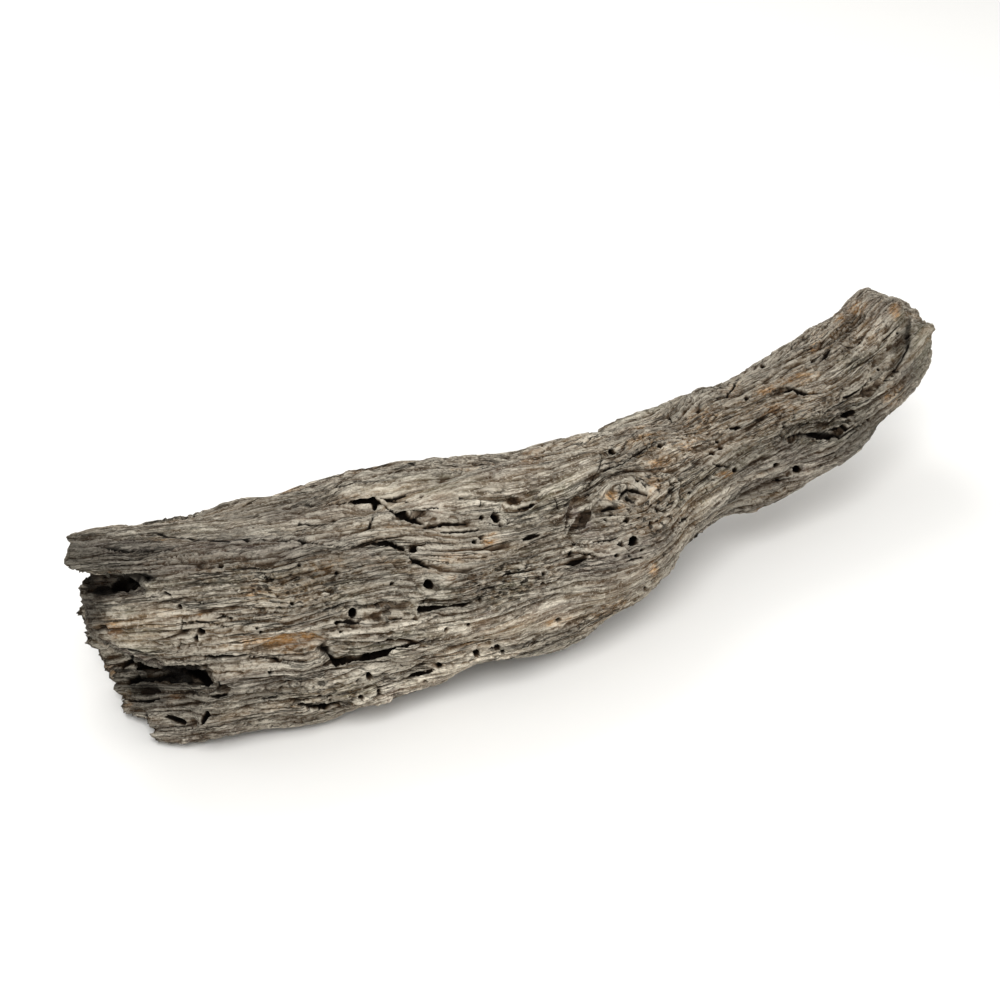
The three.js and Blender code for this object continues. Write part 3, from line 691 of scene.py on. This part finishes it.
# The same kinds of mark elsewhere, drawn from one seed, with the larger ones out of sight
draw = np.random.default_rng(41)
unseen = 1 - blurred(seen.astype(np.float64), 12)
solidLog = 1 - eased(-along, 108, 120)  # no deep marks on the thin splinters
for _ in range(unseenMarks["holes"]):
    centre = draw.integers(len(points))
    radius = draw.uniform(*unseenMarks["holeRadius"])
    if unseen[centre] < 0.5:
        radius = min(radius, unseenMarks["holeRadiusInSight"])
    gap = np.abs(mm - mm[centre])
    at = np.flatnonzero((gap < 2 * radius).all(1))
    inside = 1 - np.linalg.norm(gap[at], axis=1) / (radius * (1 + 0.12 * ragged[at]) + 0.15)
    profile = eased(inside, 0, 0.5) * solidLog[centre]
    relief[at] -= profile * min(0.6 + 1.6 * radius, 2.6)
    # painted shade inside the hole
    paintedShade[at] = np.maximum(paintedShade[at], profile)
for _ in range(unseenMarks["fissures"]):
    centre = draw.integers(len(points))
    halfLong = draw.uniform(*unseenMarks["fissureLength"]) / 2
    halfWide = draw.uniform(*unseenMarks["fissureWidth"]) / 2
    if unseen[centre] < 0.5:
        halfLong, halfWide = halfLong * 0.5, min(halfWide, unseenMarks["fissureWidthInSight"] / 2)
    sideways = turn - turn[centre]
    at = np.flatnonzero((np.abs(along - along[centre]) < halfLong) & (np.abs(sideways) < 4 * halfWide)
                        & (np.abs(out - out[centre]) < 9))
    longways = (along[at] - along[centre]) / halfLong
    half = halfWide * np.sqrt(1 - longways ** 2) * (1 + 0.25 * ragged[at]) + 0.08
    profile = np.clip(1.7 - 1.7 * np.abs(sideways[at]) / half, 0, 1) ** 0.8 * solidLog[centre]
    relief[at] -= profile * (0.5 + 1.9 * halfWide)
    # painted shade in the fissure
    paintedShade[at] = np.maximum(paintedShade[at], profile * min(1, 0.5 + halfWide))
for _ in range(unseenMarks["stains"]):
    centre = draw.integers(len(points))
    size = draw.uniform(*unseenMarks["stainSize"])
    gap = np.linalg.norm((grain - grain[centre]) * [0.4, 1, 1], axis=1)
    inside = 1 - gap / size + 0.3 * ragged
    stain = np.maximum(stain, draw.uniform(0.3, 0.8) * eased(inside, -0.2, 0.7) * unseen)
print("other marks cut")


# How much wood lies behind points of the skin, in mm, up to 10. All faces of the body have four sides
def woodBehind(at):
    corners = readArray(fine.loops, "vertex_index", 1, np.int32).reshape(-1, 4)
    body = BVHTree.FromPolygons(points.tolist(), corners.tolist())
    start, reach = 0.0003, 0.0097  # metres
    thick = np.full(len(at), 10.0)
    for i, (place, inward) in enumerate(zip(points[at], -normals[at])):
        _, _, _, gap = body.ray_cast(place + inward * start, inward, reach)
        if gap is not None:
            thick[i] = 1000 * gap + 0.3
    return thick


# No mark is cut through thin wood
cutDeep = np.flatnonzero(relief < -bodySettings["thinFrom"])
limited = -bodySettings["thinShare"] * woodBehind(cutDeep)
print("held back in thin wood:", np.count_nonzero(relief[cutDeep] < limited), "points of", len(cutDeep))
relief[cutDeep] = np.maximum(relief[cutDeep], limited)


# How far each point lies beneath the smoothed surface round it
def sunkBelow(place, rounds):
    gaps = [(blurred(place[:, axis], rounds) - place[:, axis]) * normals[:, axis] for axis in range(3)]
    return sum(gaps)


# Near the flat spots that it lies on the relief fades, so it still lies on them
resting = (1 - eased(mm[:, 2], 0.3, 3)) * eased(-normals[:, 2], 0.5, 0.9)
relief = np.minimum(relief - bodySettings["sunk"], bodySettings["standProud"]) * (1 - resting)
moved = mm + normals * relief[:, None]
low, high = (np.array(corner) * 1000 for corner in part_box("driftwood"))
pastLow, pastHigh = bodySettings["pastBox"]
moved = np.clip(moved, low - pastLow, high + pastHigh)
hollowShade = np.clip(blurred(sunkBelow(moved, 50), 2) / 1.2, -1, 1.5)  # painted shade: 1 for a hollow 1.2 mm deep, painted darker the deeper it is
ridgeHighlight = np.clip((relief - blurred(relief, 14)) / 0.35, 0, 1)  # painted highlight: 1 for what stands 0.35 mm proud, which is painted lighter
fine.vertices.foreach_set("co", (moved / 1000).astype(np.float32).ravel())
fine.update()
print("relief applied")


# Fewer triangles, where the skin is flattest
def thinned(piece, triangles):
    faces = sum(len(p.vertices) - 2 for p in piece.data.polygons)
    decimate = piece.modifiers.new("decimate", "DECIMATE")
    decimate.ratio = triangles / faces
    decimate.use_collapse_triangulate = True
    applyModifiers(piece)


thinned(piece, bodySettings["triangles"])
wood = piece.data
places = readArray(wood.vertices, "co", 3)
places[:, 2] = np.maximum(places[:, 2], 0)  # nothing dips into the floor
wood.vertices.foreach_set("co", places.ravel())

# The marks are carried over from the nearest fine point
tree = KDTree(len(moved))
for i, place in enumerate(moved / 1000):
    tree.insert(place, i)
tree.balance()
nearest = np.array([tree.find(place)[1] for place in places])
painted = {
    "hollowShade": hollowShade,
    "ridgeHighlight": ridgeHighlight,
    "paintedShade": paintedShade,
    "stain": stain,
    "rotten": rotten,
    "calm": calm,
    # broad brightness: partly the wood's own colour, partly painted light and painted shade
    "toneLightAndShade": tones["paleAndLit"] - tones["deep"],
    "warm": tones["warm"],
    "green": tones["green"],
    "purple": tones["purple"],
}
for name, values in painted.items():
    layer = wood.attributes.new(name, "FLOAT", "POINT")
    layer.data.foreach_set("value", values[nearest].astype(np.float32))
grainPlace = wood.attributes.new("grain", "FLOAT_VECTOR", "POINT")
grainPlace.data.foreach_set("vector", (grain[nearest] / 10).astype(np.float32).ravel())  # in cm
wood.polygons.foreach_set("use_smooth", [True] * len(wood.polygons))
piece.name = wood.name = "driftwoodBody"
print("thinned to", len(wood.polygons), "triangles")


# A socket that sums, differences and products can be written with
class Mark:
    def __init__(self, tree, socket):
        self.tree, self.socket = tree, socket

    def maths(self, operation, other=None, third=None):
        values = {0: self}
        if other is not None:
            values[1] = other
        if third is not None:
            values[2] = third
        return self.tree.node("ShaderNodeMath", {"operation": operation}, values)

    def __add__(self, other):
        return self.maths("ADD", other)

    def __sub__(self, other):
        return self.maths("SUBTRACT", other)

    def __mul__(self, other):
        return self.maths("MULTIPLY", other)

    def __rsub__(self, other):
        return self.maths("MULTIPLY_ADD", -1.0, other)

    __radd__, __rmul__ = __add__, __mul__


class WoodTree:
    def __init__(self, name):
        self.material = bpy.data.materials.new(name)
        self.material.use_nodes = True
        self.tree = self.material.node_tree
        self.tree.nodes.clear()

    # One node: its settings first, then the values or links of its sockets
    def node(self, kind, settings=None, sockets=None, output=0):
        made = self.tree.nodes.new(kind)
        for name, value in (settings or {}).items():
            setattr(made, name, value)
        for name, value in (sockets or {}).items():
            if isinstance(value, Mark):
                self.tree.links.new(value.socket, made.inputs[name])
            else:
                made.inputs[name].default_value = value
        return Mark(self, made.outputs[output]) if made.outputs else made

    # One of the piece's painted layers: output 2 is its number, and output 1 its vector
    def attribute(self, name, output=2):
        return self.node("ShaderNodeAttribute", {"attribute_name": name}, output=output)

    # Noise stretched along the grain: length and width in mm
    def streaks(self, place, length, width, detail=3.0, roughness=0.55):
        stretched = self.node("ShaderNodeVectorMath", {"operation": "MULTIPLY"},
                              {0: place, 1: (10 / length, 10 / width, 10 / width)})
        return self.node("ShaderNodeTexNoise", {"noise_dimensions": "3D"},
                         {"Vector": stretched, "Scale": 1.0, "Detail": detail, "Roughness": roughness})

    # Thin lines along the grain, where a noise crosses its middle
    def lines(self, place, length, width, thin):
        noise = self.streaks(place, length, width, detail=2.0)
        return self.ranged((noise - 0.5).maths("ABSOLUTE"), 0.0, thin, 1.0, 0.0)

    # From toLow where the value is low, to toHigh where it is high, with soft ends
    def ranged(self, value, low, high, toLow=0.0, toHigh=1.0):
        return self.node("ShaderNodeMapRange", {"interpolation_type": "SMOOTHSTEP"}, {
            "Value": value, "From Min": low, "From Max": high, "To Min": toLow, "To Max": toHigh})

    # Two colours mixed: sockets 6 and 7 are a Mix node's colours, and 2 is its mixed colour
    def mixed(self, share, first, second):
        return self.node("ShaderNodeMix", {"data_type": "RGBA", "clamp_factor": True},
                         {0: share, 6: first, 7: second}, output=2)


# A colour given as a screen shows it, 0 to 255
def colour(red, green, blue):
    linear = [c / 3294.6 if c <= 10 else ((c / 255 + 0.055) / 1.055) ** 2.4 for c in (red, green, blue)]
    return (*linear, 1)


woodColours = {
    "silver": colour(134, 126, 112),
    "grey": colour(105, 97, 84),
    "green": colour(102, 103, 84),
    "purple": colour(104, 91, 90),
    "tan": colour(124, 100, 70),
    "brown": colour(70, 54, 37),
    # the colour that painted shade mixes towards, and that of dark specks
    "dark": colour(14, 9, 5),
    "light": colour(184, 177, 163),
    "orange": colour(172, 132, 80),
    "rust": colour(126, 90, 54),
}


def makeWood():
    c = woodColours
    tree = WoodTree("weatheredWood")
    place = tree.attribute("grain", output=1)
    hollowShadeHere, ridgeHighlightHere = tree.attribute("hollowShade"), tree.attribute("ridgeHighlight")
    paintedShadeHere, stainHere = tree.attribute("paintedShade"), tree.attribute("stain")
    rottenHere = tree.attribute("rotten")
    toneLightAndShadeHere, warmHere, calmHere = tree.attribute("toneLightAndShade"), tree.attribute("warm"), tree.attribute("calm")
    greenHere, purpleHere = tree.attribute("green"), tree.attribute("purple")
    lively = 1 - calmHere * 0.55
    spot = tree.node("ShaderNodeTexCoord", output=3)  # the Object output

    # Fine even noise, by how many grains there are in a metre
    def grit(scale, detail=2.0):
        return tree.node("ShaderNodeTexNoise", {"noise_dimensions": "3D"},
                         {"Vector": spot, "Scale": scale, "Detail": detail, "Roughness": 0.6})

    broadPatch = tree.streaks(place, 90, 26)
    patch = tree.streaks(place, 46, 9)
    streak = tree.streaks(place, 26, 2.0)
    thread = tree.streaks(place, 15, 0.62, detail=4.0, roughness=0.65)
    hair = tree.streaks(place, 6, 0.3, detail=2.0)
    speck = grit(1400.0)
    grain = grit(520.0, detail=3.0)
    loose = tree.ranged(tree.streaks(place, 30, 7, detail=2.0), 0.42, 0.58)
    longCracks = tree.lines(place, 40, 2.1, 0.034) * loose
    shortCracks = tree.lines(place, 14, 0.95, 0.035) * tree.ranged(patch, 0.62, 0.46)
    cracks = longCracks.maths("MAXIMUM", shortCracks * 0.6)
    mottle = tree.streaks(place, 9, 3.2, roughness=0.65)
    pits = tree.ranged(tree.streaks(place, 2.6, 1.3, detail=2.0), 0.56, 0.64)

    base = tree.mixed(tree.ranged(broadPatch, 0.36, 0.64), c["grey"], c["silver"])
    greenish = tree.ranged(tree.streaks(place, 70, 20, detail=2.0), 0.5, 0.66) * 0.6
    base = tree.mixed(greenish.maths("MAXIMUM", greenHere * 0.8), base, c["green"])
    purplish = tree.ranged(grit(26.0), 0.5, 0.68) * 0.6
    base = tree.mixed(purplish.maths("MAXIMUM", purpleHere * 0.8), base, c["purple"])
    tanned = tree.ranged(patch, 0.48, 0.7) * 0.7
    warmed = warmHere * tree.ranged(patch, 0.3, 0.55, 0.35, 1.0)
    base = tree.mixed(tanned.maths("MAXIMUM", warmed), base, c["tan"])
    base = tree.mixed(tree.ranged(streak, 0.5, 0.66) * 0.8 * lively, base, c["brown"])
    base = tree.mixed(tree.ranged(streak, 0.47, 0.32) * 0.7, base, c["light"])
    base = tree.mixed(rottenHere * tree.ranged(grain, 0.42, 0.6) * 0.5, base, c["tan"])
    stained = tree.mixed(tree.ranged(streak, 0.4, 0.6), c["orange"], c["rust"])
    base = tree.mixed(stainHere * tree.ranged(streak, 0.35, 0.65, 1.4, 0.8), base, stained)
    base = tree.mixed(tree.ranged(mottle, 0.51, 0.63) * 0.8 * lively, base, c["brown"])
    base = tree.mixed(tree.ranged(mottle, 0.48, 0.36) * 0.65, base, c["light"])
    base = tree.mixed(tree.ranged(thread, 0.5, 0.66) * 0.75 * lively, base, c["brown"])
    base = tree.mixed(tree.ranged(thread, 0.48, 0.34) * 0.55, base, c["light"])
    base = tree.mixed(tree.ranged(hair, 0.5, 0.68) * 0.5 * lively, base, c["brown"])
    base = tree.mixed(tree.ranged(grain, 0.54, 0.7) * 0.5, base, c["brown"])
    # painted highlight on ridges that stand proud
    base = tree.mixed(ridgeHighlightHere * 0.65, base, c["light"])
    base = tree.mixed(tree.ranged(speck, 0.55, 0.7) * 0.5 * lively, base, c["dark"])
    base = tree.mixed(tree.ranged(speck, 0.44, 0.3) * 0.5, base, c["light"])
    # painted shade in hollows: brown in shallow ones and dark in deep ones, less where stained
    base = tree.mixed(tree.ranged(hollowShadeHere, 0.02, 0.6) * 0.85 * (1 - stainHere * 0.8), base, c["brown"])
    base = tree.mixed(tree.ranged(hollowShadeHere, 0.35, 1.1) * 0.9 * (1 - stainHere * 0.7), base, c["dark"])
    # painted shade in the small pits of rotten skin
    base = tree.mixed(pits * rottenHere * 0.85, base, c["dark"])
    # painted shade in thin cracks along the grain
    base = tree.mixed(cracks * 0.85 * lively, base, c["dark"])
    # painted shade in holes, fissures, hollows and splits, mixed towards dark
    base = tree.mixed(tree.ranged(paintedShadeHere, 0.1, 0.7) * 0.95, base, c["dark"])
    base = tree.node("ShaderNodeGamma", {}, {"Color": base, "Gamma": 1.15})
    # brightness from the broad patches, partly painted light and painted shade
    base = tree.node("ShaderNodeHueSaturation", {}, {
        "Value": toneLightAndShadeHere * 0.67 + 1.36, "Saturation": 0.94, "Color": base})

    height = thread * 0.9 + hair * 0.5 + speck * 0.3 + streak * 0.6 + grain * 0.5
    height = height - cracks * 0.6 - pits * rottenHere
    bump = tree.node("ShaderNodeBump", {}, {"Strength": 1.0, "Distance": 0.0009, "Height": height})
    rough = tree.ranged(streak, 0.3, 0.7, 0.82, 0.96)
    shader = tree.node("ShaderNodeBsdfPrincipled", {}, {
        "Base Color": base, "Roughness": rough, "Specular IOR Level": 0.06, "Normal": bump})
    tree.node("ShaderNodeOutputMaterial", {}, {"Surface": shader})
    return tree.material


wood.materials.append(makeWood())
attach(piece, "root")
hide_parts("driftwood")
print("wood finished")

# Floor and light, in metres and watts
studio = {
    "floorColour": colour(240, 239, 236),
    "floorHalf": 3.0,
    "aim": (0, 0, 0.03),
    "world": 0.62,
    "key": {"place": (-0.5, -0.55, 0.95), "size": 0.7, "watts": 9.0},
    "fill": {"place": (0.6, -0.9, 0.45), "size": 0.9, "watts": 5.0},
    "back": {"place": (0.1, 0.8, 0.8), "size": 0.8, "watts": 5.0},
}


def makeFloor():
    mesh = bpy.data.meshes.new("floor")
    half = studio["floorHalf"]
    corners = [(-half, -half, 0), (half, -half, 0), (half, half, 0), (-half, half, 0)]
    mesh.from_pydata(corners, [], [(0, 1, 2, 3)])
    floor = bpy.data.objects.new("floor", mesh)
    scene.collection.objects.link(floor)
    paint = WoodTree("floorPaint")
    shader = paint.node("ShaderNodeBsdfPrincipled", {}, {
        "Base Color": studio["floorColour"], "Roughness": 0.9, "Specular IOR Level": 0.1})
    paint.node("ShaderNodeOutputMaterial", {}, {"Surface": shader})
    mesh.materials.append(paint.material)


def makeLight(name, place, size, watts):
    data = bpy.data.lights.new(name, "AREA")
    data.shape, data.size, data.energy = "DISK", size, watts
    light = bpy.data.objects.new(name, data)
    light.location = place
    light.rotation_mode = "QUATERNION"
    light.rotation_quaternion = (Vector(studio["aim"]) - Vector(place)).to_track_quat("-Z", "Y")
    scene.collection.objects.link(light)


makeFloor()
for name in ("key", "fill", "back"):
    makeLight(name, **studio[name])
scene.world = bpy.data.worlds.new("studio")
scene.world.use_nodes = True
background = scene.world.node_tree.nodes["Background"]
background.inputs["Color"].default_value = (1, 1, 1, 1)
background.inputs["Strength"].default_value = studio["world"]
scene.view_settings.view_transform = "Standard"
print("studio set")
